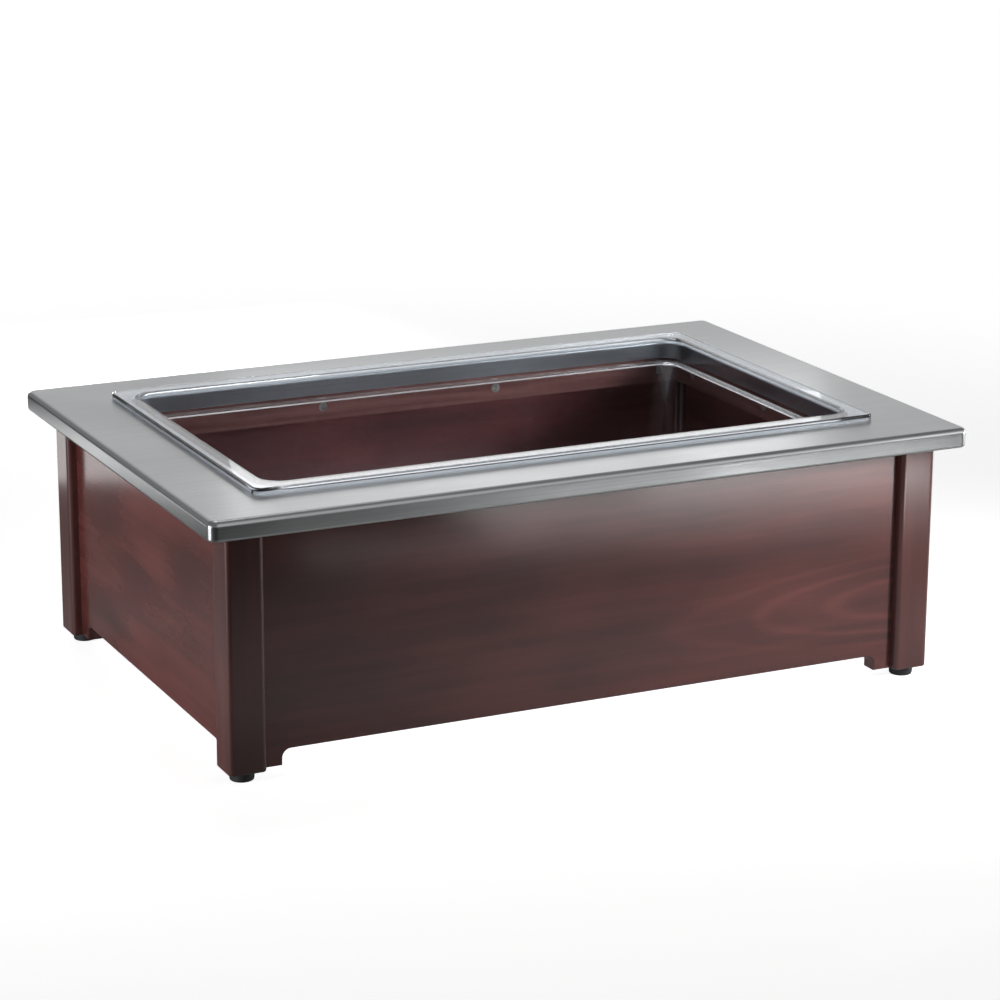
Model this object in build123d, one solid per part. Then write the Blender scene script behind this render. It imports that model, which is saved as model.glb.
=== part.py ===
from build123d import *
import os
from math import radians, tan

# Ice housing for buffets: a clear food pan hangs by its rim in a steel-skinned top, on a wood carcass
# of four corner posts and four set-back panels, which stands on rubber feet.
# Millimetres, +Z up, X along the long side, front towards -Y, origin on the floor under the middle.

# Food pan
pan_rim_length = 530.0
pan_rim_width = 325.0
pan_rim_corner = 8.0
pan_rim_height = 5.0
pan_rim_round = 1.5
pan_flange_width = 12.0
pan_depth = 150.0
pan_wall = 3.0
pan_corner = 20.0
pan_band_depth = 24.0
pan_band_draft = 2.0
pan_shoulder = 3.0
pan_draft = 5.0
pan_floor_corner = 30.0
pan_floor_round = 16.0
pan_mouth_round = 2.0
under_pan_space = 65.0

# Steel top
sheet = 1.2
top_edge_height = 16.0
top_corner = 7.0
top_edge_round = 4.5
hem_edge_round = 2.5
hem_setback = 6.5
pan_clearance = 2.5
cutout_bend = 2.0
turned_edge_depth = 14.5
glue_gap = 0.2

# Wood carcass
top_overhang = 18.5
panel_recess = 8.0
panel_thickness = 16.0
panel_round = 1.5
post_inside = 6.0
post_edge_round = 4.0
post_end_round = 1.5
leg_width = 15.0
notch_height = 12.5
notch_corner = 7.0

# Cleats between the posts, under the top
cleat_thickness = 18.0
cleat_height = 22.0
cleat_gap_ends = 6.5
cleat_gap_sides = 4.0
cleat_end_gap = 0.5

# Dowels
dowel_radius = 4.0
dowel_bevel = 0.8
dowel_fit = 0.1
dowel_end_room = 1.0
dowel_panel_depth = 20.0
dowel_post_cover = 10.0
dowel_margin = 36.0
dowel_stagger = 14.0
dowels_per_joint = 3
core_dowel_radius = 3.0
core_dowel_depth = 16.0
core_dowel_margin = 14.0
core_dowels_per_joint = 2

# Screws
screw_radius = 2.0
screw_head_radius = 3.8
screw_head_depth = 2.4
screw_tip = 4.0
screw_point_radius = 0.25
screw_fit = 0.1
screw_end_room = 1.0
screw_cover = 6.0
driver_slot_length = 4.6
driver_slot_width = 0.9
driver_slot_depth = 1.2
cleat_screw_margin = 30.0
cleat_screws_long = 4
cleat_screws_short = 3
top_screw_margin = 90.0
top_screws_long = 3
top_screws_short = 2

# Feet
foot_height = 8.0
foot_radius = 10.0
foot_flare = 6.0
foot_edge_round = 1.0
foot_web = 3.0
washer_radius = 5.5
washer_thickness = 1.0
washer_fit = 0.2
foot_screw_head_round = 1.0
foot_screw_bite = 18.0

# Heights that follow from the pan outwards
top_z = under_pan_space + pan_depth - pan_rim_height
core_z = top_z - top_edge_height + sheet
core_thickness = top_edge_height - 2 * sheet
rim_top_z = top_z + pan_rim_height
panel_height = core_z - foot_height
panel_mid_z = foot_height + panel_height / 2

# Half lengths (X) and half widths (Y) that follow from the pan outwards
pan_body_x = pan_rim_length / 2 - pan_flange_width
pan_body_y = pan_rim_width / 2 - pan_flange_width
cutout_x = pan_body_x + pan_clearance
cutout_y = pan_body_y + pan_clearance
cutout_corner = pan_corner + pan_clearance
core_hole_x = cutout_x + sheet + glue_gap
core_hole_y = cutout_y + sheet + glue_gap
cleat_in_x = pan_body_x + cleat_gap_ends
cleat_in_y = pan_body_y + cleat_gap_sides
panel_in_x = cleat_in_x + cleat_thickness
panel_in_y = cleat_in_y + cleat_thickness
panel_mid_x = panel_in_x + panel_thickness / 2
panel_mid_y = panel_in_y + panel_thickness / 2
post_size = post_inside + panel_thickness + panel_recess
post_mid_x = panel_in_x - post_inside + post_size / 2
post_mid_y = panel_in_y - post_inside + post_size / 2
post_in_x = post_mid_x - post_size / 2
post_in_y = post_mid_y - post_size / 2
top_x = post_mid_x + post_size / 2 + top_overhang
top_y = post_mid_y + post_size / 2 + top_overhang

# A fillet gives way to the wall that it runs on
least_round = 0.3
post_round = min(post_edge_round, panel_recess, post_inside)
top_round = min(top_edge_round, top_corner - least_round)
hem_round = min(hem_edge_round, top_edge_height - top_round - least_round)
core_top_round = max(top_round - sheet - glue_gap, least_round)
core_hem_round = max(hem_round - sheet - glue_gap, least_round)

SIDES = ((-1, "left"), (1, "right"))
ENDS = ((-1, "front"), (1, "back"))
BOTTOM = (Align.CENTER, Align.CENTER, Align.MIN)


def spread(count, length, margin):
    """Even places along a length, the outer ones a margin from its ends."""
    if count == 1:
        return [0.0]
    reach = length / 2 - margin
    return [-reach + 2 * reach * i / (count - 1) for i in range(count)]


def slab(half_x, half_y, corner, low_z, high_z):
    """Rounded rectangle in plan, upright between two heights."""
    return Pos(0, 0, low_z) * extrude(RectangleRounded(2 * half_x, 2 * half_y, corner), high_z - low_z)


def block(low, high):
    """Box between two corners."""
    size = [b - a for a, b in zip(low, high)]
    return Pos(*[(a + b) / 2 for a, b in zip(low, high)]) * Box(*size)


def tapered(half_x, half_y, corner, low_corner, high_z, depth, draft):
    """Rounded rectangle that narrows downwards by its draft, with its own corner radius at each end."""
    low_x = half_x - depth * tan(radians(draft))
    low_y = half_y - depth * tan(radians(draft))
    above = Pos(0, 0, high_z) * RectangleRounded(2 * half_x, 2 * half_y, corner)
    below = Pos(0, 0, high_z - depth) * RectangleRounded(2 * low_x, 2 * low_y, low_corner)
    return loft([above, below], ruled=True)


def rounded_below(shape, radius):
    """Rounds the edges of a shape's lowest face."""
    return fillet(shape.faces().sort_by(Axis.Z)[0].edges(), radius)


def rounded_above(shape, radius):
    """Rounds the edges of a shape's highest face."""
    return fillet(shape.faces().sort_by(Axis.Z)[-1].edges(), radius)


# Food pan: tapered basin with a stacking shoulder, under a flanged rim with a turned-down skirt
def pan_hollow(inset):
    """Basin with its upper band and shoulder, drawn in from the outer skin by an inset."""
    half_x = pan_body_x - inset
    half_y = pan_body_y - inset
    corner = pan_corner - inset
    band = tapered(half_x, half_y, corner, corner, rim_top_z, pan_band_depth - inset, pan_band_draft)
    step = pan_shoulder + pan_band_depth * tan(radians(pan_band_draft))
    basin = tapered(
        half_x - step,
        half_y - step,
        corner,
        pan_floor_corner - inset,
        rim_top_z - pan_band_depth + inset,
        pan_depth - pan_band_depth,
        pan_draft,
    )
    return band + rounded_below(basin, pan_floor_round - inset)


def food_pan():
    """Clear pan with an open basin, standing on the steel by its skirt."""
    rim_x = pan_rim_length / 2
    rim_y = pan_rim_width / 2
    rim = rounded_above(slab(rim_x, rim_y, pan_rim_corner, top_z, rim_top_z), pan_rim_round)
    under_rim = slab(
        rim_x - pan_wall, rim_y - pan_wall, pan_rim_corner - pan_wall, top_z, rim_top_z - pan_wall
    )
    pan = rim - under_rim + pan_hollow(0) - pan_hollow(pan_wall)
    mouth = pan.faces().filter_by(Axis.Z).sort_by(Axis.Z)[-1].inner_wires()[0]
    return fillet(mouth.edges(), pan_mouth_round)


# Steel top: formed sheet with a rolled edge, a hem turned under and a turned-down cut-out
def top_block(inset, top_rounding, hem_rounding):
    """Whole top as a solid slab, its sides drawn in by an inset and its faces by the sheet at most."""
    low_z = top_z - top_edge_height + min(inset, sheet)
    high_z = top_z - min(inset, sheet)
    body = slab(top_x - inset, top_y - inset, top_corner - inset, low_z, high_z)
    return rounded_below(rounded_above(body, top_rounding), hem_rounding)


def steel_top():
    """Sheet skin over the core boards."""
    low_z = top_z - top_edge_height
    hem_in = top_overhang - hem_setback
    skin = top_block(0, top_round, hem_round)
    skin -= top_block(sheet, max(top_round - sheet, least_round), max(hem_round - sheet, least_round))
    skin -= slab(top_x - hem_in, top_y - hem_in, top_corner, low_z, core_z)
    turned = slab(
        cutout_x + sheet, cutout_y + sheet, cutout_corner + sheet, top_z - turned_edge_depth, top_z
    )
    cutout_low_z = top_z - max(top_edge_height, turned_edge_depth)
    skin = skin + turned - slab(cutout_x, cutout_y, cutout_corner, cutout_low_z, top_z)
    mouth = skin.faces().filter_by(Axis.Z).sort_by(Axis.Z)[-1].inner_wires()[0]
    return fillet(mouth.edges(), cutout_bend)


# Places of the fasteners, each a location whose +Z runs along the fastener
def dowel_places():
    """Middle of each joint between a panel end and a post, at the dowels' heights."""
    places = []
    heights = spread(dowels_per_joint, panel_height, dowel_margin)
    for sx, _ in SIDES:
        for sy, _ in ENDS:
            for height in heights:
                z = panel_mid_z + height
                along_x = Pos(sx * post_in_x, sy * panel_mid_y, z + dowel_stagger / 2) * Rot(0, sx * 90, 0)
                along_y = Pos(sx * panel_mid_x, sy * post_in_y, z - dowel_stagger / 2) * Rot(-sy * 90, 0, 0)
                places += [along_x, along_y]
    return places


def core_dowel_places():
    """Middle of each joint between a long and a short core board."""
    board = top_x - core_hole_x
    z = core_z + core_thickness / 2
    return [
        Pos(sx * (core_hole_x + board / 2 + across), sy * core_hole_y, z) * Rot(-sy * 90, 0, 0)
        for sx, _ in SIDES
        for sy, _ in ENDS
        for across in spread(core_dowels_per_joint, board, core_dowel_margin)
    ]


cleat_long = 2 * (post_in_x - cleat_end_gap)
cleat_short = 2 * (cleat_in_y - cleat_end_gap)
cleat_mid_x = cleat_in_x + cleat_thickness / 2
cleat_mid_y = cleat_in_y + cleat_thickness / 2
cleat_mid_z = core_z - cleat_height / 2


def cleat_screw_places():
    """Heads on the cleats' inner faces, points in the panels."""
    places = []
    for sy, _ in ENDS:
        for x in spread(cleat_screws_long, cleat_long, cleat_screw_margin):
            places.append(Pos(x, sy * cleat_in_y, cleat_mid_z) * Rot(-sy * 90, 0, 0))
    for sx, _ in SIDES:
        for y in spread(cleat_screws_short, cleat_short, cleat_screw_margin):
            places.append(Pos(sx * cleat_in_x, y, cleat_mid_z) * Rot(0, sx * 90, 0))
    return places


def top_screw_places():
    """Heads under the cleats, points in the core boards."""
    low_z = core_z - cleat_height
    places = []
    for sy, _ in ENDS:
        for x in spread(top_screws_long, cleat_long, top_screw_margin):
            places.append(Pos(x, sy * cleat_mid_y, low_z))
    for sx, _ in SIDES:
        for y in spread(top_screws_short, cleat_short, top_screw_margin):
            places.append(Pos(sx * cleat_mid_x, y, low_z))
    return places


def foot_places():
    """Middle of each post, at floor height, with its name."""
    return {
        f"{end}_{side}": Pos(sx * post_mid_x, sy * post_mid_y, 0) for sx, side in SIDES for sy, end in ENDS
    }


# Fasteners, each along +Z, and the holes that take them
dowel_post_depth = post_size - dowel_post_cover
washer_z = foot_height - foot_web - washer_thickness
cleat_screw_length = cleat_thickness + panel_thickness - screw_cover
top_screw_length = cleat_height + core_thickness - screw_cover
foot_screw_length = screw_head_depth + washer_thickness + foot_web + foot_screw_bite


def dowel(radius, back_depth, front_depth):
    """Dowel through a joint at its origin, with bevelled ends."""
    peg = Pos(0, 0, -back_depth) * Cylinder(radius, back_depth + front_depth, align=BOTTOM)
    return chamfer(peg.edges().filter_by(GeomType.CIRCLE), dowel_bevel)


def dowel_hole(radius, back_depth, front_depth):
    """Room for a dowel."""
    length = back_depth + front_depth + 2 * dowel_end_room
    return Pos(0, 0, -back_depth - dowel_end_room) * Cylinder(radius + dowel_fit, length, align=BOTTOM)


def screw(length, head):
    """Wood screw with a cross slot, its head's outer face at the origin and its point up."""
    shank_length = length - screw_head_depth - screw_tip
    shank = Pos(0, 0, screw_head_depth) * Cylinder(screw_radius, shank_length, align=BOTTOM)
    tip = Pos(0, 0, length - screw_tip) * Cone(screw_radius, screw_point_radius, screw_tip, align=BOTTOM)
    slot = Box(driver_slot_length, driver_slot_width, 2 * driver_slot_depth)
    return head + shank + tip - slot - Rot(0, 0, 90) * slot


def sunk_screw(length):
    """Screw with a countersunk head."""
    return screw(length, Cone(screw_head_radius, screw_radius, screw_head_depth, align=BOTTOM))


def round_screw(length):
    """Screw with a round head that is flat below, to bear on a washer."""
    head = rounded_below(Cylinder(screw_head_radius, screw_head_depth, align=BOTTOM), foot_screw_head_round)
    return screw(length, head)


def shank_hole(length):
    """Room for a screw's shank and point."""
    return Cylinder(screw_radius + screw_fit, length + screw_end_room, align=BOTTOM)


def sunk_hole(length):
    """Room for a countersunk screw."""
    mouth = screw_head_radius + screw_fit
    return shank_hole(length) + Cone(mouth, screw_radius + screw_fit, screw_head_depth, align=BOTTOM)


def at(places, shape):
    """Copies of a shape at places."""
    return [place * shape for place in places]


panel_dowel_hole = dowel_hole(dowel_radius, dowel_panel_depth, dowel_post_depth)
panel_dowel_holes = at(dowel_places(), panel_dowel_hole)
core_dowel_hole = dowel_hole(core_dowel_radius, core_dowel_depth, core_dowel_depth)
core_dowel_holes = at(core_dowel_places(), core_dowel_hole)
cleat_screw_holes = at(cleat_screw_places(), sunk_hole(cleat_screw_length))
top_screw_holes = at(top_screw_places(), sunk_hole(top_screw_length))
foot_screw_place = Pos(0, 0, washer_z - screw_head_depth)
foot_screw_hole = foot_screw_place * shank_hole(foot_screw_length)
foot_screw_holes = at(foot_places().values(), foot_screw_hole)


# Wood carcass
def post(sx, sy):
    """Corner post with rounded edges, bored for its dowels and its foot's screw."""
    body = Pos(sx * post_mid_x, sy * post_mid_y, foot_height) * Box(
        post_size, post_size, panel_height, align=BOTTOM
    )
    body = fillet(body.edges().filter_by(Axis.Z), post_round)
    body = rounded_below(body, post_end_round)
    return body - panel_dowel_holes - foot_screw_holes


def panel(length):
    """Panel along X with a leg at each end and a raised bottom edge between them."""
    body = Pos(0, 0, foot_height) * Box(length, panel_thickness, panel_height, align=BOTTOM)
    notch = RectangleRounded(length - 2 * leg_width, 2 * notch_height, notch_corner)
    body -= extrude(Plane.XZ.offset(-panel_thickness) * Pos(0, foot_height) * notch, 2 * panel_thickness)
    low_edges = body.edges().filter_by_position(Axis.Z, foot_height, foot_height + notch_height)
    long_edges = [edge for edge in low_edges if abs(edge.center().Y) > panel_thickness / 2 - least_round]
    return fillet(long_edges, panel_round)


def panels():
    """Four panels in their places, bored for dowels and cleat screws."""
    long_panel = panel(2 * post_in_x)
    short_panel = Rot(0, 0, 90) * panel(2 * post_in_y)
    placed = {end: Pos(0, sy * panel_mid_y, 0) * long_panel for sy, end in ENDS}
    placed |= {side: Pos(sx * panel_mid_x, 0, 0) * short_panel for sx, side in SIDES}
    return {name: body - panel_dowel_holes - cleat_screw_holes for name, body in placed.items()}


def core_boards():
    """Four boards that fill the sheet round the cut-out, bored for their dowels and screws."""
    inset = sheet + glue_gap
    whole = top_block(inset, core_top_round, core_hem_round)
    zones = {
        "front": ((-top_x, -top_y, 0), (top_x, -core_hole_y, top_z)),
        "back": ((-top_x, core_hole_y, 0), (top_x, top_y, top_z)),
        "left": ((-top_x, -core_hole_y, 0), (-core_hole_x, core_hole_y, top_z)),
        "right": ((core_hole_x, -core_hole_y, 0), (top_x, core_hole_y, top_z)),
    }
    return {
        name: (whole & block(low, high)) - core_dowel_holes - top_screw_holes
        for name, (low, high) in zones.items()
    }


def cleats():
    """Four cleats on the panels' inner faces, bored for their screws."""
    long_cleat = Box(cleat_long, cleat_thickness, cleat_height)
    short_cleat = Box(cleat_thickness, cleat_short, cleat_height)
    placed = {end: Pos(0, sy * cleat_mid_y, cleat_mid_z) * long_cleat for sy, end in ENDS}
    placed |= {side: Pos(sx * cleat_mid_x, 0, cleat_mid_z) * short_cleat for sx, side in SIDES}
    return {name: body - cleat_screw_holes - top_screw_holes for name, body in placed.items()}


# Feet
def foot():
    """Rubber foot with a pocket for its washer and screw."""
    low_radius = foot_radius - foot_height * tan(radians(foot_flare))
    body = rounded_below(Cone(low_radius, foot_radius, foot_height, align=BOTTOM), foot_edge_round)
    pocket = Cylinder(washer_radius + washer_fit, foot_height - foot_web, align=BOTTOM)
    return body - pocket - foot_screw_hole


def washer():
    """Steel washer against the roof of the foot's pocket."""
    return Pos(0, 0, washer_z) * Cylinder(washer_radius, washer_thickness, align=BOTTOM) - foot_screw_hole


nodes = {"food_pan": food_pan(), "steel_top": steel_top()}
for kind, boards in {"core": core_boards(), "panel": panels(), "cleat": cleats()}.items():
    for name, board in boards.items():
        nodes[f"{kind}_{name}"] = board
for sx, side in SIDES:
    for sy, end in ENDS:
        nodes[f"post_{end}_{side}"] = post(sx, sy)
for name, place in foot_places().items():
    nodes[f"foot_{name}"] = place * foot()

panel_dowel = dowel(dowel_radius, dowel_panel_depth, dowel_post_depth)
core_dowel = dowel(core_dowel_radius, core_dowel_depth, core_dowel_depth)
foot_screw = foot_screw_place * round_screw(foot_screw_length)
groups = {
    "panel_dowels": at(dowel_places(), panel_dowel),
    "core_dowels": at(core_dowel_places(), core_dowel),
    "cleat_screws": at(cleat_screw_places(), sunk_screw(cleat_screw_length)),
    "top_screws": at(top_screw_places(), sunk_screw(top_screw_length)),
    "foot_washers": at(foot_places().values(), washer()),
    "foot_screws": at(foot_places().values(), foot_screw),
}
for name, pieces in groups.items():
    nodes[name] = Compound(children=pieces)

os.makedirs("parts", exist_ok=True)
for name, shape in nodes.items():
    export_step(shape, f"parts/{name}.step")
print(f"{len(nodes)} nodes, top {2 * top_x:.1f} x {2 * top_y:.1f}, {top_z:.1f} high")
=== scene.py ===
"""Looks of a buffet ice housing: a clear food pan in a steel top on a lacquered wood carcass.

Metres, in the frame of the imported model: +X along the long side, front towards -Y, +Z up.
"""

import logging
import math
from dataclasses import dataclass
from enum import Enum
from typing import Any, Iterator

import bmesh
import bpy
from bmesh.types import BMEdge, BMesh, BMVert
from bpy.types import Material, Node, NodeSocket, NodeTree, Object
from mathutils import Matrix, Vector


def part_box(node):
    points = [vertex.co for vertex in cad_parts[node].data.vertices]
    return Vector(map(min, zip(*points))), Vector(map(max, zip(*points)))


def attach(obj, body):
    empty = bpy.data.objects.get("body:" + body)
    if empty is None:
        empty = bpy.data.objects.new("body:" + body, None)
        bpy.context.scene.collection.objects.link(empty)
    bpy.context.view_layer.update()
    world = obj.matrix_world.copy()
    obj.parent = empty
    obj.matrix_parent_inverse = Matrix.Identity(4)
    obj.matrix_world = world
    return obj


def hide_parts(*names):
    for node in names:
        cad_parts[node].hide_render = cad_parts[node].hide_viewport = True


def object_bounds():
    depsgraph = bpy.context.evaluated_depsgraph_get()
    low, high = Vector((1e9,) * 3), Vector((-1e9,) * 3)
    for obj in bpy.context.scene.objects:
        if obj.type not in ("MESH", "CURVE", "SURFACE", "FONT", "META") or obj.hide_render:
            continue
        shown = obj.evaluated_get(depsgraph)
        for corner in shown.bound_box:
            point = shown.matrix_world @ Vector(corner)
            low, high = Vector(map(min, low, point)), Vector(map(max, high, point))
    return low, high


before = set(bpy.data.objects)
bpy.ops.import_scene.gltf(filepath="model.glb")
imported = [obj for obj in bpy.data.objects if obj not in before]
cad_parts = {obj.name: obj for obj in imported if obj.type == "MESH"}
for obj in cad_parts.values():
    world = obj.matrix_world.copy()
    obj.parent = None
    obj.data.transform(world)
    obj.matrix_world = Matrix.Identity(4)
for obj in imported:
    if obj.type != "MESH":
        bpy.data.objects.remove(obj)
CAD_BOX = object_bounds()

log = logging.getLogger("ice_housing")

Triple = tuple[float, float, float]

MM = 0.001
NEAR = 0.1 * MM
SIDES = ("left", "right")
ENDS = ("front", "back")
QUARTERS = ((-1, -1), (1, -1), (1, 1), (-1, 1))
SHARP_ANGLE = math.radians(40)
FLAT_FACE_WEIGHT = 100

# Angles on a round, in degrees.
OUTWARDS = 0.0
UPWARDS = 90.0
INWARDS = 180.0
DOWNWARDS = -90.0

# Length of one wave of a Wave texture at a scale of 1.
WAVE_LENGTH = math.tau / 20


def linear(hex_colour: str) -> tuple[float, float, float, float]:
    """Turns an sRGB hex colour to linear light.

    Args:
        hex_colour: colour written as "#rrggbb".

    Returns:
        Linear red, green and blue, and an alpha of 1.
    """
    shares = [int(hex_colour[i : i + 2], 16) / 255 for i in (1, 3, 5)]
    red, green, blue = (s / 12.92 if s <= 0.04045 else ((s + 0.055) / 1.055) ** 2.4 for s in shares)
    return red, green, blue, 1.0


def add_node(
    tree: NodeTree, kind: str, inputs: dict[str | int, Any] | None = None, **settings: Any
) -> Node:
    """Adds a node with its settings, values and links.

    Args:
        tree: node tree that takes the node.
        kind: node type, without the leading "ShaderNode".
        inputs: by socket name or number, a value to set, or a socket or a node's first output to link.
        settings: the node's own properties.

    Returns:
        The new node.
    """
    node = tree.nodes.new("ShaderNode" + kind)
    for name, value in settings.items():
        setattr(node, name, value)
    for key, value in (inputs or {}).items():
        source = value.outputs[0] if isinstance(value, Node) else value
        if isinstance(source, NodeSocket):
            tree.links.new(source, node.inputs[key])
        else:
            node.inputs[key].default_value = value
    return node


def set_ramp(node: Node, stops: dict[float, str]) -> NodeSocket:
    """Sets a colour ramp's stops.

    Args:
        node: a ColorRamp node.
        stops: place along the ramp to hex colour, at least two, in order.

    Returns:
        The ramp's colour output.
    """
    elements = node.color_ramp.elements
    places = list(stops)
    while len(elements) < len(places):
        elements.new(places[len(elements) - 1])
    for element, place in zip(elements, places):
        element.position = place
        element.color = linear(stops[place])
    return node.outputs["Color"]


def fibres(tree: NodeTree, along: NodeSocket, length: float, width: float, detail: float) -> NodeSocket:
    """Adds noise that is drawn out along X, as fibres and brushed lines are.

    Args:
        tree: node tree that takes the nodes.
        along: coordinates turned so that the lines run along X.
        length: length of a line.
        width: width of a line.
        detail: octaves of the noise.

    Returns:
        The noise, around a half.
    """
    drawn = add_node(tree, "Mapping", {"Vector": along, "Scale": (1 / length, 1 / width, 1 / width)})
    return add_node(tree, "TexNoise", {"Vector": drawn, "Scale": 1.0, "Detail": detail}).outputs[0]


@dataclass(frozen=True)
class Finish:
    """A real surface, drawn as a material under its own name."""

    name: str

    def material(self) -> Material:
        """Gives the finish as a material, made the first time it is asked for.

        Returns:
            The material of this name.
        """
        known = bpy.data.materials.get(self.name)
        if known:
            return known
        made = bpy.data.materials.new(self.name)
        made.use_nodes = True
        made.node_tree.nodes.clear()
        surface = self.draw(made.node_tree)
        add_node(made.node_tree, "OutputMaterial", {"Surface": surface})
        return made

    def draw(self, tree: NodeTree) -> NodeSocket:
        """Adds the finish's nodes.

        Args:
            tree: the material's node tree.

        Returns:
            The finished shader.
        """
        raise NotImplementedError


class Grain(Enum):
    """Way that a board's fibres run, as the turn about X, Y and Z that lays them along X."""

    LENGTHWISE = (0.0, 0.0, 0.0)
    CROSSWISE = (0.0, 0.0, -90.0)
    UPRIGHT = (0.0, 90.0, 0.0)

    def turn(self) -> list[float]:
        """The turn in radians."""
        return [math.radians(a) for a in self.value]


@dataclass(frozen=True)
class LacqueredMahogany(Finish):
    """Mahogany boards under a dark red-brown stain and a clear satin lacquer.

    The stain hides most of the figure, so the eye gets long soft streaks, red clouds, a faint arch where
    growth rings are cut at a slant, fine dark pores and a broad sheen that is never quite even. The
    lacquer's matting adds a pale haze.
    """

    grain: Grain
    dark: str = "#3d1c1a"
    body: str = "#552a27"
    light: str = "#6b3733"
    haze: float = 0.25
    cloud_size: float = 45 * MM
    cloud_stretch: float = 2.5
    cloud_share: float = 0.58
    streak_width: float = 10 * MM
    streak_length: float = 200 * MM
    streak_share: float = 0.32
    # Coarser than real pores, which are under half a millimetre wide and wouldn't show.
    pore_width: float = 1.3 * MM
    pore_length: float = 32 * MM
    pore_share: float = 0.10
    pore_depth: float = 0.2 * MM
    pore_relief: float = 0.08
    ring_spacing: float = 8 * MM
    ring_waver: float = 1.6
    ring_sharpness: float = 3.0
    ring_mean: float = 0.3
    ring_share: float = 0.16
    heart_inner: float = 34 * MM
    heart_outer: float = 52 * MM
    log_slant: float = 6.0
    log_middle: Triple = (0.0, 136.3 * MM, -68 * MM)
    ripple_size: float = 18 * MM
    ripple_depth: float = 0.3 * MM
    ripple_relief: float = 0.05
    wood_roughness: float = 0.5
    lacquer_roughness: float = 0.15
    lacquer_ior: float = 1.6

    def growth_rings(self, tree: NodeTree, along: NodeSocket) -> NodeSocket:
        """Adds the arch of growth rings near the heart of the log.

        Args:
            tree: the material's node tree.
            along: coordinates turned so that the fibres run along X.

        Returns:
            A socket that swings about 0 near the heart and is 0 elsewhere.
        """
        slant = (0.0, 0.0, math.radians(self.log_slant))
        log_place = add_node(
            tree, "Mapping", {"Vector": along, "Location": self.log_middle, "Rotation": slant}
        )
        ring = add_node(
            tree,
            "TexWave",
            {
                "Vector": log_place,
                "Scale": WAVE_LENGTH / self.ring_spacing,
                "Distortion": self.ring_waver,
                "Detail": 1.0,
                "Detail Scale": 0.25,
            },
            wave_type="RINGS",
            rings_direction="X",
        ).outputs["Fac"]
        outwards = add_node(tree, "VectorMath", {0: log_place, 1: (0.0, 1.0, 1.0)}, operation="MULTIPLY")
        radius = add_node(tree, "VectorMath", {0: outwards}, operation="LENGTH").outputs["Value"]
        heart = add_node(
            tree,
            "MapRange",
            {
                "Value": radius,
                "From Min": self.heart_inner,
                "From Max": self.heart_outer,
                "To Min": self.ring_share,
                "To Max": 0.0,
            },
            interpolation_type="SMOOTHSTEP",
        )
        line = add_node(tree, "Math", {0: ring, 1: self.ring_sharpness}, operation="POWER")
        swing = add_node(tree, "Math", {0: line, 1: self.ring_mean}, operation="SUBTRACT")
        return add_node(tree, "Math", {0: swing, 1: heart}, operation="MULTIPLY").outputs[0]

    def draw(self, tree: NodeTree) -> NodeSocket:
        """Adds the stained grain and the lacquer over it.

        Args:
            tree: the material's node tree.

        Returns:
            The finished shader.
        """
        place = add_node(tree, "TexCoord").outputs["Object"]
        along = add_node(tree, "Mapping", {"Vector": place, "Rotation": self.grain.turn()}).outputs[0]
        streak = fibres(tree, along, self.streak_length, self.streak_width, 2.0)
        pore = fibres(tree, along, self.pore_length, self.pore_width, 2.0)
        cloud = fibres(tree, along, self.cloud_stretch * self.cloud_size, self.cloud_size, 1.0)
        mixed = self.growth_rings(tree, along)
        layers = ((streak, self.streak_share), (pore, self.pore_share), (cloud, self.cloud_share))
        for layer, share in layers:
            mixed = add_node(
                tree, "Math", {0: layer, 1: share, 2: mixed}, operation="MULTIPLY_ADD"
            ).outputs[0]
        ramp = add_node(tree, "ValToRGB", {"Fac": mixed})
        colour = set_ramp(ramp, {0.28: self.dark, 0.50: self.body, 0.72: self.light})
        bump = add_node(
            tree, "Bump", {"Height": pore, "Strength": self.pore_relief, "Distance": self.pore_depth}
        )
        ripple = add_node(tree, "TexNoise", {"Vector": place, "Scale": 1 / self.ripple_size})
        skin = add_node(
            tree, "Bump", {"Height": ripple, "Strength": self.ripple_relief, "Distance": self.ripple_depth}
        )
        return add_node(
            tree,
            "BsdfPrincipled",
            {
                "Base Color": colour,
                "Roughness": self.wood_roughness,
                "Specular IOR Level": self.haze,
                "Coat Weight": 1.0,
                "Coat Roughness": self.lacquer_roughness,
                "Coat IOR": self.lacquer_ior,
                "Normal": bump,
                "Coat Normal": skin,
            },
        ).outputs[0]


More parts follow.
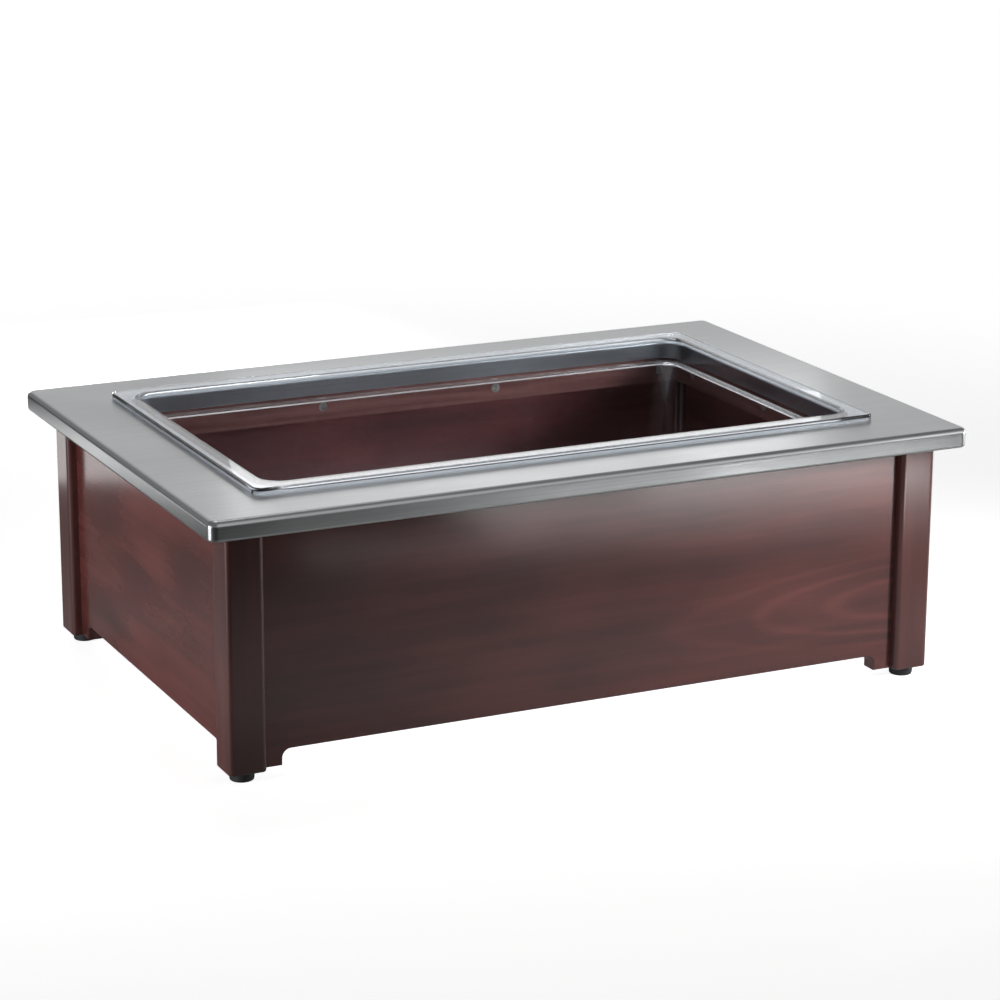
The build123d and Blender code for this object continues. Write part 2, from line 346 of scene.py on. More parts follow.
@dataclass(frozen=True)
class BrushedStainless(Finish):
    """Stainless sheet, brushed along its length.

    The brushing gives the eye a satin grey with fine long lines, and smears what it mirrors across them.
    """

    grey: str = "#b8babb"
    shade: str = "#acaeaf"
    # Coarser than real lines, which are about a tenth of a millimetre wide and wouldn't show.
    line_width: float = 1.4 * MM
    line_length: float = 180 * MM
    line_depth: float = 0.2 * MM
    line_relief: float = 0.10
    cloud_size: float = 120 * MM
    least_rough: float = 0.27
    most_rough: float = 0.36

    def draw(self, tree: NodeTree) -> NodeSocket:
        """Adds the brushed lines and the faint clouds of a wiped sheet.

        Args:
            tree: the material's node tree.

        Returns:
            The finished shader.
        """
        place = add_node(tree, "TexCoord").outputs["Object"]
        lines = fibres(tree, place, self.line_length, self.line_width, 4.0)
        cloud = add_node(tree, "TexNoise", {"Vector": place, "Scale": 1 / self.cloud_size})
        ramp = add_node(tree, "ValToRGB", {"Fac": lines})
        colour = set_ramp(ramp, {0.3: self.shade, 0.7: self.grey})
        rough = add_node(
            tree,
            "MapRange",
            {
                "Value": cloud,
                "From Min": 0.3,
                "From Max": 0.7,
                "To Min": self.least_rough,
                "To Max": self.most_rough,
            },
        )
        bump = add_node(
            tree, "Bump", {"Height": lines, "Strength": self.line_relief, "Distance": self.line_depth}
        )
        return add_node(
            tree,
            "BsdfPrincipled",
            {"Base Color": colour, "Metallic": 1.0, "Roughness": rough, "Normal": bump},
        ).outputs[0]


@dataclass(frozen=True)
class ClearPolycarbonate(Finish):
    """Injection-moulded clear polycarbonate.

    The eye gets a water-clear wall with a faint cool tint, sharp highlights on the edges, a slight
    waviness from the mould and a haze of fine scuffs from use.
    """

    tint: str = "#f1f5fa"
    ior: float = 1.585
    scuff_size: float = 9 * MM
    clean_roughness: float = 0.02
    scuffed_roughness: float = 0.10
    wave_size: float = 45 * MM
    wave_depth: float = 0.5 * MM
    wave_relief: float = 0.06

    def draw(self, tree: NodeTree) -> NodeSocket:
        """Adds the clear wall, open to lamp light so that what is behind it is lit.

        Args:
            tree: the material's node tree.

        Returns:
            The finished shader.
        """
        place = add_node(tree, "TexCoord").outputs["Object"]
        scuff = add_node(
            tree, "TexNoise", {"Vector": place, "Scale": 1 / self.scuff_size, "Detail": 5.0, "Roughness": 0.7}
        )
        rough = add_node(
            tree,
            "MapRange",
            {
                "Value": scuff,
                "From Min": 0.45,
                "From Max": 0.75,
                "To Min": self.clean_roughness,
                "To Max": self.scuffed_roughness,
            },
        )
        wave = add_node(tree, "TexNoise", {"Vector": place, "Scale": 1 / self.wave_size})
        bump = add_node(
            tree, "Bump", {"Height": wave, "Strength": self.wave_relief, "Distance": self.wave_depth}
        )
        wall = add_node(
            tree,
            "BsdfPrincipled",
            {
                "Base Color": linear(self.tint),
                "Roughness": rough,
                "IOR": self.ior,
                "Transmission Weight": 1.0,
                "Normal": bump,
            },
        )
        lamp_light = add_node(tree, "BsdfTransparent", {"Color": linear(self.tint)})
        is_lamp = add_node(tree, "LightPath").outputs["Is Shadow Ray"]
        return add_node(tree, "MixShader", {0: is_lamp, 1: wall, 2: lamp_light}).outputs[0]


@dataclass(frozen=True)
class MouldedRubber(Finish):
    """Black moulded rubber: matt, with a fine grain and a grey bloom that never quite wipes off."""

    black: str = "#17171a"
    bloom: str = "#2e2e31"
    bloom_size: float = 7 * MM
    # Coarser than real grain, which is a few tenths of a millimetre and wouldn't show.
    grain_size: float = 1.2 * MM
    grain_depth: float = 0.1 * MM
    grain_relief: float = 0.25
    roughness: float = 0.62

    def draw(self, tree: NodeTree) -> NodeSocket:
        """Adds the bloom and the grain.

        Args:
            tree: the material's node tree.

        Returns:
            The finished shader.
        """
        place = add_node(tree, "TexCoord").outputs["Object"]
        patches = add_node(tree, "TexNoise", {"Vector": place, "Scale": 1 / self.bloom_size, "Detail": 3.0})
        colour = set_ramp(add_node(tree, "ValToRGB", {"Fac": patches}), {0.35: self.black, 0.75: self.bloom})
        grain = add_node(tree, "TexNoise", {"Vector": place, "Scale": 1 / self.grain_size})
        bump = add_node(
            tree, "Bump", {"Height": grain, "Strength": self.grain_relief, "Distance": self.grain_depth}
        )
        return add_node(
            tree, "BsdfPrincipled", {"Base Color": colour, "Roughness": self.roughness, "Normal": bump}
        ).outputs[0]


@dataclass(frozen=True)
class ZincPlate(Finish):
    """Zinc-plated steel: a cool pale metal whose bright skin is clouded and a little yellow in places."""

    bright: str = "#c9cac8"
    cloud: str = "#b3ae9c"
    cloud_size: float = 4 * MM
    least_rough: float = 0.22
    most_rough: float = 0.42

    def draw(self, tree: NodeTree) -> NodeSocket:
        """Adds the clouds of the plating.

        Args:
            tree: the material's node tree.

        Returns:
            The finished shader.
        """
        place = add_node(tree, "TexCoord").outputs["Object"]
        clouds = add_node(tree, "TexNoise", {"Vector": place, "Scale": 1 / self.cloud_size, "Detail": 3.0})
        colour = set_ramp(add_node(tree, "ValToRGB", {"Fac": clouds}), {0.4: self.bright, 0.7: self.cloud})
        rough = add_node(
            tree, "MapRange", {"Value": clouds, "To Min": self.least_rough, "To Max": self.most_rough}
        )
        return add_node(
            tree, "BsdfPrincipled", {"Base Color": colour, "Metallic": 1.0, "Roughness": rough}
        ).outputs[0]


@dataclass(frozen=True)
class BareWood(Finish):
    """Planed wood without lacquer: dry and matt, with growth lines along the fibres."""

    grain: Grain
    early: str
    late: str
    line_spacing: float
    line_length: float = 140 * MM
    line_depth: float = 0.2 * MM
    line_relief: float = 0.2
    roughness: float = 0.72

    def draw(self, tree: NodeTree) -> NodeSocket:
        """Adds the growth lines.

        Args:
            tree: the material's node tree.

        Returns:
            The finished shader.
        """
        place = add_node(tree, "TexCoord").outputs["Object"]
        along = add_node(tree, "Mapping", {"Vector": place, "Rotation": self.grain.turn()}).outputs[0]
        lines = fibres(tree, along, self.line_length, self.line_spacing, 4.0)
        colour = set_ramp(add_node(tree, "ValToRGB", {"Fac": lines}), {0.35: self.late, 0.65: self.early})
        bump = add_node(
            tree, "Bump", {"Height": lines, "Strength": self.line_relief, "Distance": self.line_depth}
        )
        return add_node(
            tree, "BsdfPrincipled", {"Base Color": colour, "Roughness": self.roughness, "Normal": bump}
        ).outputs[0]


@dataclass(frozen=True)
class Plywood(Finish):
    """Birch plywood: pale and darker plies in turn on the cut edge, and one quiet veneer on the face."""

    pale: str = "#cfae84"
    dark: str = "#a87f55"
    ply: float = 1.7 * MM
    ply_waver: float = 0.4
    grain_width: float = 4 * MM
    grain_length: float = 90 * MM
    grain_depth: float = 0.2 * MM
    grain_relief: float = 0.15
    roughness: float = 0.7

    def draw(self, tree: NodeTree) -> NodeSocket:
        """Adds the plies through the board's height and the veneer's grain.

        Args:
            tree: the material's node tree.

        Returns:
            The finished shader.
        """
        place = add_node(tree, "TexCoord").outputs["Object"]
        plies = add_node(
            tree,
            "TexWave",
            {
                "Vector": place,
                "Scale": WAVE_LENGTH / (2 * self.ply),
                "Distortion": self.ply_waver,
                "Detail": 1.0,
            },
            wave_type="BANDS",
            bands_direction="Z",
        ).outputs["Fac"]
        veneer = fibres(tree, place, self.grain_length, self.grain_width, 3.0)
        both = add_node(tree, "Math", {0: veneer, 1: plies}, operation="MULTIPLY")
        colour = set_ramp(add_node(tree, "ValToRGB", {"Fac": both}), {0.1: self.dark, 0.6: self.pale})
        bump = add_node(
            tree, "Bump", {"Height": veneer, "Strength": self.grain_relief, "Distance": self.grain_depth}
        )
        return add_node(
            tree, "BsdfPrincipled", {"Base Color": colour, "Roughness": self.roughness, "Normal": bump}
        ).outputs[0]


def round_off(mesh: BMesh, geom: list[BMVert] | list[BMEdge], radius: float, segments: int) -> None:
    """Rounds edges of a mesh, or corners of a flat outline.

    Args:
        mesh: mesh that holds them.
        geom: the edges, or the corners, to round.
        radius: radius of the round.
        segments: steps across it.
    """
    bmesh.ops.bevel(
        mesh,
        geom=geom,
        offset=radius,
        offset_type="OFFSET",
        affect="VERTICES" if isinstance(geom[0], BMVert) else "EDGES",
        segments=segments,
        profile=0.5,
        material=-1,
    )


@dataclass(frozen=True)
class Ring:
    """Rounded rectangle about the upright axis, one station of a lofted skin."""

    half_x: float
    half_y: float
    corner: float
    z: float

    def grown(self, out: float, up: float = 0.0) -> "Ring":
        """The ring moved outwards and upwards."""
        return Ring(self.half_x + out, self.half_y + out, self.corner + out, self.z + up)

    def arc(self, radius: float, start: float, stop: float, steps: int) -> list["Ring"]:
        """Lays rings on an arc about this one.

        Args:
            radius: radius of the arc.
            start: first angle in degrees, where 0 is outwards and 90 is up.
            stop: last angle in degrees.
            steps: number of steps from the first to the last.

        Returns:
            The rings in order, the first and last included.
        """
        angles = [math.radians(start + (stop - start) * i / steps) for i in range(steps + 1)]
        return [self.grown(radius * math.cos(a), radius * math.sin(a)) for a in angles]

    def corner_centre(self, sx: int, sy: int) -> Vector:
        """Middle of the corner arc in one quarter."""
        return Vector((sx * (self.half_x - self.corner), sy * (self.half_y - self.corner), self.z))


class RingSkin:
    """Skin that is lofted from ring to ring by extruding its open edge."""

    def __init__(self, first: Ring, segments: int) -> None:
        """Starts the skin as one face with rounded corners.

        Args:
            first: ring of the first face.
            segments: steps of each rounded corner.
        """
        self.mesh = bmesh.new()
        self.ring = first
        corners = [
            self.mesh.verts.new((sx * first.half_x, sy * first.half_y, first.z)) for sx, sy in QUARTERS
        ]
        self.mesh.faces.new(corners)
        round_off(self.mesh, corners, first.corner, segments)
        self.first_edge = list(self.mesh.edges)
        self.edge = list(self.mesh.edges)

    def loft(self, rings: list[Ring]) -> None:
        """Extrudes the open edge through rings in turn.

        Args:
            rings: the stations to reach.
        """
        for ring in rings:
            made = bmesh.ops.extrude_edge_only(self.mesh, edges=self.edge)["geom"]
            verts = {g for g in made if isinstance(g, BMVert)}
            self.edge = [g for g in made if isinstance(g, BMEdge) and verts.issuperset(g.verts)]
            grow = ring.corner / self.ring.corner
            for sx, sy in QUARTERS:
                quarter = [v for v in verts if v.co.x * sx > 0 and v.co.y * sy > 0]
                was = self.ring.corner_centre(sx, sy)
                bmesh.ops.scale(
                    self.mesh, vec=(grow, grow, 1.0), space=Matrix.Translation(-was), verts=quarter
                )
                bmesh.ops.translate(self.mesh, vec=ring.corner_centre(sx, sy) - was, verts=quarter)
            self.ring = ring

    def close(self) -> BMesh:
        """Fills the open edge with one face.

        Returns:
            The finished mesh.
        """
        bmesh.ops.contextual_create(self.mesh, geom=self.edge)
        return self.mesh

    def join(self) -> BMesh:
        """Takes the first face away and joins the open edge to the first one.

        Returns:
            The finished mesh.
        """
        first_face = [f for f in self.mesh.faces if set(f.edges) == set(self.first_edge)]
        bmesh.ops.delete(self.mesh, geom=first_face, context="FACES_ONLY")
        bmesh.ops.bridge_loops(self.mesh, edges=self.edge + self.first_edge)
        return self.mesh


@dataclass(frozen=True)
class Piece:
    """What a mesh becomes: its name, the node it stands for, its body, slot and finish."""

    name: str
    node: str
    body: str
    slot: str
    finish: Finish

    def publish(self, mesh: BMesh) -> Object:
        """Makes the finished object.

        Args:
            mesh: the shape, in place in the frame. It is freed.

        Returns:
            The object, riding on its body in place of its node.
        """
        bmesh.ops.recalc_face_normals(mesh, faces=mesh.faces)
        data = bpy.data.meshes.new(self.name)
        mesh.to_mesh(data)
        mesh.free()
        data.shade_smooth()
        data.set_sharp_from_angle(angle=SHARP_ANGLE)
        data.materials.append(self.finish.material())
        made = bpy.data.objects.new(self.name, data)
        bpy.context.scene.collection.objects.link(made)
        even = made.modifiers.new("even_flats", "WEIGHTED_NORMAL")
        even.keep_sharp = True
        even.weight = FLAT_FACE_WEIGHT
        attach(made, self.body)
        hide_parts(self.node)
        return made


@dataclass
class FoodPan:
    """Clear pan that hangs by its rim: a tapered basin with a stacking shoulder, under a turned-down rim."""

    wall: float = 3 * MM
    rim_corner: float = 8 * MM
    rim_height: float = 5 * MM
    rim_round: float = 1.5 * MM
    skirt_round: float = 0.6 * MM
    flange_width: float = 12 * MM
    corner: float = 20 * MM
    band_depth: float = 24 * MM
    band_draft: float = 2.0
    shoulder: float = 3 * MM
    shoulder_round: float = 0.9 * MM
    draft: float = 5.0
    floor_corner: float = 30 * MM
    floor_round: float = 16 * MM
    mouth_round: float = 2 * MM
    corner_steps: int = 12
    floor_steps: int = 8
    edge_steps: int = 5
    small_steps: int = 3
    finish: Finish = ClearPolycarbonate("clear_polycarbonate_moulding")

    def basin(self, inset: float) -> list[Ring]:
        """Rings of one face of the basin, from the floor to under the rim.

        Args:
            inset: how far the face lies inside the outer one.

        Returns:
            Rings of the floor's round, the wall, the shoulder and the band above it.
        """
        low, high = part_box("food_pan")
        lean = math.tan(math.radians(self.draft))
        band_lean = math.tan(math.radians(self.band_draft))
        corner = self.corner - inset
        band_inset = self.flange_width + inset + self.band_depth * band_lean
        band = Ring(high.x - band_inset, high.y - band_inset, corner, high.z + inset - self.band_depth)
        ledge = Ring(band.half_x - self.shoulder, band.half_y - self.shoulder, corner, band.z)
        taper = (high.z - low.z - self.band_depth) * lean
        floor = Ring(ledge.half_x - taper, ledge.half_y - taper, self.floor_corner - inset, low.z + inset)
        # The middle of the floor's round is as far from the floor as from the leaning wall.
        bend = self.floor_round - inset
        middle = floor.grown(bend * (lean - 1 / math.cos(math.radians(self.draft))), bend)
        rings = middle.arc(bend, DOWNWARDS, OUTWARDS - self.draft, self.floor_steps)
        soft = self.shoulder_round
        rings += ledge.grown(soft, -soft).arc(soft, INWARDS - self.draft, UPWARDS, self.small_steps)
        rings += band.grown(-soft, soft).arc(soft, DOWNWARDS, OUTWARDS, self.small_steps)
        return rings

    def build(self) -> Iterator[Object]:
        """Lofts the pan from the floor, over the rim and back under the floor.

        Yields:
            The pan.
        """
        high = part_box("food_pan")[1]
        rim = Ring(high.x, high.y, self.rim_corner, high.z)
        skirt = rim.grown(0.0, -self.rim_height)
        throat = Ring(high.x - self.flange_width, high.y - self.flange_width, self.corner, high.z)
        mouth = throat.grown(-self.wall)
        over = mouth.grown(self.mouth_round, -self.mouth_round).arc(
            self.mouth_round, INWARDS, UPWARDS, self.edge_steps
        )
        over += rim.grown(-self.rim_round, -self.rim_round).arc(
            self.rim_round, UPWARDS, OUTWARDS, self.edge_steps
        )
        over += skirt.grown(-self.skirt_round, self.skirt_round).arc(
            self.skirt_round, OUTWARDS, DOWNWARDS, self.small_steps
        )
        over += [skirt.grown(-self.wall), skirt.grown(-self.wall, self.rim_height - self.wall)]
        over.append(throat.grown(0.0, -self.wall))
        inner = self.basin(self.wall)
        outer = self.basin(0.0)
        skin = RingSkin(inner[0], self.corner_steps)
        skin.loft(inner[1:] + over + outer[::-1])
        piece = Piece("food_pan_moulding", "food_pan", "pan", "clear_polycarbonate", self.finish)
        yield piece.publish(skin.close())


@dataclass
class SteelTop:
    """Formed sheet with a rolled edge, a hem turned under it and a turned-down cut-out."""

    sheet: float = 1.2 * MM
    corner: float = 7 * MM
    edge_round: float = 4.5 * MM
    hem_round: float = 2.5 * MM
    hem_width: float = 12 * MM
    border_x: float = 64.5 * MM
    border_y: float = 62 * MM
    cutout_corner: float = 22.5 * MM
    cutout_bend: float = 2 * MM
    turned_edge: float = 14.5 * MM
    corner_steps: int = 10
    edge_steps: int = 8
    hem_steps: int = 5
    bend_steps: int = 4
    finish: Finish = BrushedStainless("brushed_stainless_sheet")

    def build(self) -> Iterator[Object]:
        """Lofts the sheet's outer face, then back along its inner face.

        Yields:
            The sheet.
        """
        low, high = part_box("steel_top")
        edge = Ring(high.x, high.y, self.corner, high.z)
        hem = Ring(high.x, high.y, self.corner, low.z)
        cutout = Ring(high.x - self.border_x, high.y - self.border_y, self.cutout_corner, high.z)
        roll = edge.grown(-self.edge_round, -self.edge_round)
        turn = hem.grown(-self.hem_round, self.hem_round)
        bend = cutout.grown(self.cutout_bend, -self.cutout_bend)
        hem_end = Ring(high.x - self.hem_width, high.y - self.hem_width, self.corner, low.z)
        outer = bend.arc(self.cutout_bend, INWARDS, UPWARDS, self.bend_steps)
        outer += roll.arc(self.edge_round, UPWARDS, OUTWARDS, self.edge_steps)
        outer += turn.arc(self.hem_round, OUTWARDS, DOWNWARDS, self.hem_steps)
        outer.append(hem_end)
        inner = [hem_end.grown(0.0, self.sheet)]
        inner += turn.arc(self.hem_round - self.sheet, DOWNWARDS, OUTWARDS, self.hem_steps)
        inner += roll.arc(self.edge_round - self.sheet, OUTWARDS, UPWARDS, self.edge_steps)
        inner += bend.arc(self.cutout_bend - self.sheet, UPWARDS, INWARDS, self.bend_steps)
        inner.append(cutout.grown(self.sheet, -self.turned_edge))
        skin = RingSkin(cutout.grown(0.0, -self.turned_edge), self.corner_steps)
        skin.loft(outer + inner)
        piece = Piece("steel_top_sheet", "steel_top", "housing", "brushed_stainless", self.finish)
        yield piece.publish(skin.join())


@dataclass
class Carcass:
    """Four corner posts and four set-back panels of lacquered wood."""

    post_round: float = 4 * MM
    post_end_round: float = 1.5 * MM
    panel_round: float = 1.5 * MM
    leg_width: float = 15 * MM
    notch_height: float = 12.5 * MM
    notch_corner: float = 7 * MM
    post_steps: int = 8
    notch_steps: int = 6
    edge_steps: int = 4
    slot: str = "stained_wood"
    lengthwise: Finish = LacqueredMahogany("lacquered_mahogany_lengthwise", Grain.LENGTHWISE)
    crosswise: Finish = LacqueredMahogany("lacquered_mahogany_crosswise", Grain.CROSSWISE, haze=0.08)
    upright: Finish = LacqueredMahogany(
        "lacquered_mahogany_upright", Grain.UPRIGHT, dark="#361816", body="#4b2421", light="#5f302c"
    )

    def post(self, node: str) -> BMesh:
        """Shapes a square bar with rounded edges, sharp only where the top sits on it.

        Args:
            node: the post's node.

        Returns:
            The bar in its place.
        """
        low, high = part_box(node)
        mesh = bmesh.new()
        place = Matrix.Translation((low + high) / 2) @ Matrix.Diagonal((*(high - low), 1.0))
        bmesh.ops.create_cube(mesh, size=1.0, matrix=place)
        upright = [e for e in mesh.edges if abs(e.verts[0].co.z - e.verts[1].co.z) > self.post_round]
        round_off(mesh, upright, self.post_round, self.post_steps)
        below = [e for e in mesh.edges if all(v.co.z < low.z + NEAR for v in e.verts)]
        round_off(mesh, below, self.post_end_round, self.edge_steps)
        return mesh

    def panel(self, node: str, turned: bool) -> BMesh:
        """Shapes a board with a leg at each end and a raised bottom edge between them.

        Args:
            node: the panel's node.
            turned: whether the board runs along Y.

        Returns:
            The board in its place.
        """
        low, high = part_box(node)
        size = high - low
        length, thickness = (size.y, size.x) if turned else (size.x, size.y)
        end, leg = length / 2, length / 2 - self.leg_width
        raised = low.z + self.notch_height
        outline = ((-end, high.z), (-end, low.z), (-leg, low.z), (-leg, raised))
        outline += tuple((-u, z) for u, z in reversed(outline))
        mesh = bmesh.new()
        corners = [mesh.verts.new((u, -thickness / 2, z)) for u, z in outline]
        mesh.faces.new(corners)
        notch = [corner for corner, (_, z) in zip(corners, outline) if z == raised]
        round_off(mesh, notch, self.notch_corner, self.notch_steps)
        made = bmesh.ops.extrude_face_region(mesh, geom=list(mesh.faces), use_keep_orig=True)["geom"]
        moved = [g for g in made if isinstance(g, BMVert)]
        bmesh.ops.translate(mesh, vec=(0.0, thickness, 0.0), verts=moved)
        below = [
            e
            for e in mesh.edges
            if sum(v.co.z for v in e.verts) / 2 < raised + NEAR
            and abs(e.verts[0].co.y - e.verts[1].co.y) < NEAR
        ]
        round_off(mesh, below, self.panel_round, self.edge_steps)
        middle = (low + high) / 2
        turn = Matrix.Rotation(math.pi / 2 if turned else 0.0, 4, "Z")
        place = Matrix.Translation((middle.x, middle.y, 0.0)) @ turn
        bmesh.ops.transform(mesh, matrix=place, verts=mesh.verts)
        return mesh

    def build(self) -> Iterator[Object]:
        """Makes the posts and the panels.

        Yields:
            Each post, then each panel.
        """
        for end in ENDS:
            for side in SIDES:
                node = f"post_{end}_{side}"
                piece = Piece(f"{node}_bar", node, "housing", self.slot, self.upright)
                yield piece.publish(self.post(node))
        boards = [(end, False, self.lengthwise) for end in ENDS]
        boards += [(side, True, self.crosswise) for side in SIDES]
        for name, turned, finish in boards:
            node = f"panel_{name}"
            piece = Piece(f"{node}_board", node, "housing", self.slot, finish)
            yield piece.publish(self.panel(node, turned))


@dataclass
class Feet:
    """Rubber feet, each with a pocket for its washer and screw."""

    flare: float = 6.0
    edge_round: float = 1 * MM
    web: float = 3 * MM
    pocket_radius: float = 5.7 * MM
    hole_radius: float = 2.1 * MM
    turn_steps: int = 48
    edge_steps: int = 4
    finish: Finish = MouldedRubber("black_moulded_rubber")

    def foot(self, node: str) -> BMesh:
        """Spins the foot's section about its own axis.

        Args:
            node: the foot's node.

        Returns:
            The foot in its place.
        """
        low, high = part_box(node)
        middle = (low + high) / 2
        top_radius = (high.x - low.x) / 2
        low_radius = top_radius - (high.z - low.z) * math.tan(math.radians(self.flare))
        roof = high.z - self.web
        section = (
            (self.hole_radius, high.z),
            (top_radius, high.z),
            (low_radius, low.z),
            (self.pocket_radius, low.z),
            (self.pocket_radius, roof),
            (self.hole_radius, roof),
        )
        mesh = bmesh.new()
        corners = [mesh.verts.new((middle.x + r, middle.y, z)) for r, z in section]
        mesh.faces.new(corners)
        round_off(mesh, corners[1:4], self.edge_round, self.edge_steps)
        outline = list(mesh.edges)
        bmesh.ops.delete(mesh, geom=list(mesh.faces), context="FACES_ONLY")
        bmesh.ops.spin(
            mesh,
            geom=outline + list(mesh.verts),
            cent=(middle.x, middle.y, 0.0),
            axis=(0.0, 0.0, 1.0),
            angle=math.tau,
            steps=self.turn_steps,
            use_merge=True,
        )
        return mesh

    def build(self) -> Iterator[Object]:
        """Makes a foot under each post.

        Yields:
            Each foot.
        """
        for end in ENDS:
            for side in SIDES:
                node = f"foot_{end}_{side}"
                piece = Piece(f"{node}_pad", node, "housing", "foot_rubber", self.finish)
                yield piece.publish(self.foot(node))


@dataclass
class Joinery:
    """Core boards, cleats, dowels and screws, which keep the shape of their nodes."""

    core: Finish = Plywood("birch_plywood")
    screws: Finish = ZincPlate("zinc_plated_steel")
    dowels: Finish = BareWood("turned_beech", Grain.LENGTHWISE, "#d8b48c", "#c0946a", 2 * MM)
    cleat_long: Finish = BareWood("stained_pine_lengthwise", Grain.LENGTHWISE, "#70463f", "#573029", 5 * MM)
    cleat_short: Finish = BareWood("stained_pine_crosswise", Grain.CROSSWISE, "#70463f", "#573029", 5 * MM)

    def build(self) -> Iterator[Object]:
        """Dresses each node in its finish.

        Yields:
            Each dressed node.
        """
        finishes = {"panel_dowels": self.dowels, "core_dowels": self.dowels}
        metal_nodes = ("cleat_screws", "top_screws", "foot_washers", "foot_screws")
        finishes |= {node: self.screws for node in metal_nodes}
        for end in ENDS:
            finishes |= {f"core_{end}": self.core, f"cleat_{end}": self.cleat_long}
        for side in SIDES:
            finishes |= {f"core_{side}": self.core, f"cleat_{side}": self.cleat_short}
        for node, finish in finishes.items():
            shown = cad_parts[node]
            shown.data.materials.clear()
            shown.data.materials.append(finish.material())
            yield shown


@dataclass(frozen=True)
class SoftBox:
    """Rectangular studio light, which may be kept out of gloss or off matt surfaces."""

    name: str
    centre: Triple
    aim: Triple
    size: tuple[float, float]
    watts: float
    spread: float = 180.0
    mirrored: bool = True
    lights_matt: bool = True

    def build(self) -> None:
        """Hangs the light and turns it to what it lights."""
        data = bpy.data.lights.new(self.name, "AREA")
        data.shape = "RECTANGLE"
        data.size, data.size_y = self.size
        data.energy = self.watts
        data.spread = math.radians(self.spread)
        lamp = bpy.data.objects.new(self.name, data)
        lamp.visible_glossy = self.mirrored
        lamp.visible_diffuse = self.lights_matt
        bpy.context.scene.collection.objects.link(lamp)
        beam = Vector(self.aim) - Vector(self.centre)
        turn = beam.to_track_quat("-Z", "Y").to_matrix().to_4x4()
        lamp.matrix_world = Matrix.Translation(self.centre) @ turn


def seen(tree: NodeTree, *rays: str) -> NodeSocket:
    """Adds nodes that tell some kinds of ray from the rest.

    Args:
        tree: node tree of the floor or the world.
        rays: names of the Light Path node's outputs.

    Returns:
        A socket of 1 for those rays and 0 for the others.
    """
    path = add_node(tree, "LightPath")
    told = path.outputs[rays[0]]
    for ray in rays[1:]:
        told = add_node(tree, "Math", {0: told, 1: path.outputs[ray]}, operation="MAXIMUM").outputs[0]
    return told


@dataclass(frozen=True)
class FloorPaper(Finish):
    """White studio paper that takes the object's shadow.

    The eye gets white, a little whiter far from the object, with painted shade under the object's middle.
    Gloss gets only what the lamps light and a dim painted pool of light in front of the object.
    """

    paper: str = "#e4e4e4"
    near_glow: float = 0.88
    far_glow: float = 1.0
    near: float = 0.7
    far: float = 1.6
    # Painted pool of light: a glow on the paper in front of the object that only gloss sees.
    pool: Triple = (-0.05, -0.39, 0.0)
    painted_pool_glow: float = 0.2
    pool_near: float = 0.1
    pool_far: float = 0.38
    # Painted shade: under the object's middle the glow to the eye falls to this share, a shadow painted into
    # the paper.
    shade: float = 0.4
    painted_shade_edge: float = 80 * MM
    painted_shade_middle: float = 130 * MM
    # Coarser than real fibres, which are hair-thin and wouldn't show.
    fibre_size: float = 3 * MM
    fibre_depth: float = 0.1 * MM
    fibre_relief: float = 0.02

    def under(self, tree: NodeTree, place: NodeSocket) -> NodeSocket:
        """Adds painted shade in the glow, deepening under the object from its sides to its middle.

        Args:
            tree: the material's node tree.
            place: coordinates on the floor.

        Returns:
            A socket of 1 in the open, less in the painted shade.
        """
        apart = add_node(tree, "VectorMath", {0: place}, operation="ABSOLUTE")
        inside = add_node(tree, "VectorMath", {0: CAD_BOX[1], 1: apart}, operation="SUBTRACT")
        inwards = add_node(tree, "SeparateXYZ", {0: inside}).outputs
        depth = add_node(tree, "Math", {0: inwards["X"], 1: inwards["Y"]}, operation="MINIMUM")
        return add_node(
            tree,
            "MapRange",
            {
                "Value": depth,
                "From Min": self.painted_shade_edge,
                "From Max": self.painted_shade_middle,
                "To Min": 1.0,
                "To Max": self.shade,
            },
            interpolation_type="SMOOTHSTEP",
        ).outputs[0]

    def draw(self, tree: NodeTree) -> NodeSocket:
        """Adds the paper and its glow to the eye and in gloss.

        Args:
            tree: the material's node tree.

        Returns:
            The finished shader.
        """
        place = add_node(tree, "TexCoord").outputs["Object"]
        fibre = add_node(tree, "TexNoise", {"Vector": place, "Scale": 1 / self.fibre_size})
        bump = add_node(
            tree, "Bump", {"Height": fibre, "Strength": self.fibre_relief, "Distance": self.fibre_depth}
        )
        matt = add_node(tree, "BsdfDiffuse", {"Color": linear(self.paper), "Normal": bump})
        away = add_node(tree, "VectorMath", {0: place}, operation="LENGTH").outputs["Value"]
        glow = add_node(
            tree,
            "MapRange",
            {
                "Value": away,
                "From Min": self.near,
                "From Max": self.far,
                "To Min": self.near_glow,
                "To Max": self.far_glow,
            },
            interpolation_type="SMOOTHSTEP",
        )
        # Painted shadow: the glow to the eye is darkened under the object.
        glow = add_node(tree, "Math", {0: glow, 1: self.under(tree, place)}, operation="MULTIPLY")
        eye = seen(tree, "Is Camera Ray", "Is Transmission Ray")
        shown = add_node(tree, "Math", {0: eye, 1: glow}, operation="MULTIPLY")
        apart = add_node(tree, "VectorMath", {0: place, 1: self.pool}, operation="DISTANCE").outputs["Value"]
        # Painted pool of light, fading out from its middle, shown to gloss alone.
        pool = add_node(
            tree,
            "MapRange",
            {
                "Value": apart,
                "From Min": self.pool_near,
                "From Max": self.pool_far,
                "To Min": self.painted_pool_glow,
                "To Max": 0.0,
            },
            interpolation_type="SMOOTHSTEP",
        )
        gloss = seen(tree, "Is Glossy Ray")
        mirrored = add_node(tree, "Math", {0: gloss, 1: pool}, operation="MULTIPLY")
        strength = add_node(tree, "Math", {0: shown, 1: mirrored}, operation="MAXIMUM")
        light = add_node(tree, "Emission", {"Strength": strength})
        return add_node(tree, "AddShader", {0: matt, 1: light}).outputs[0]


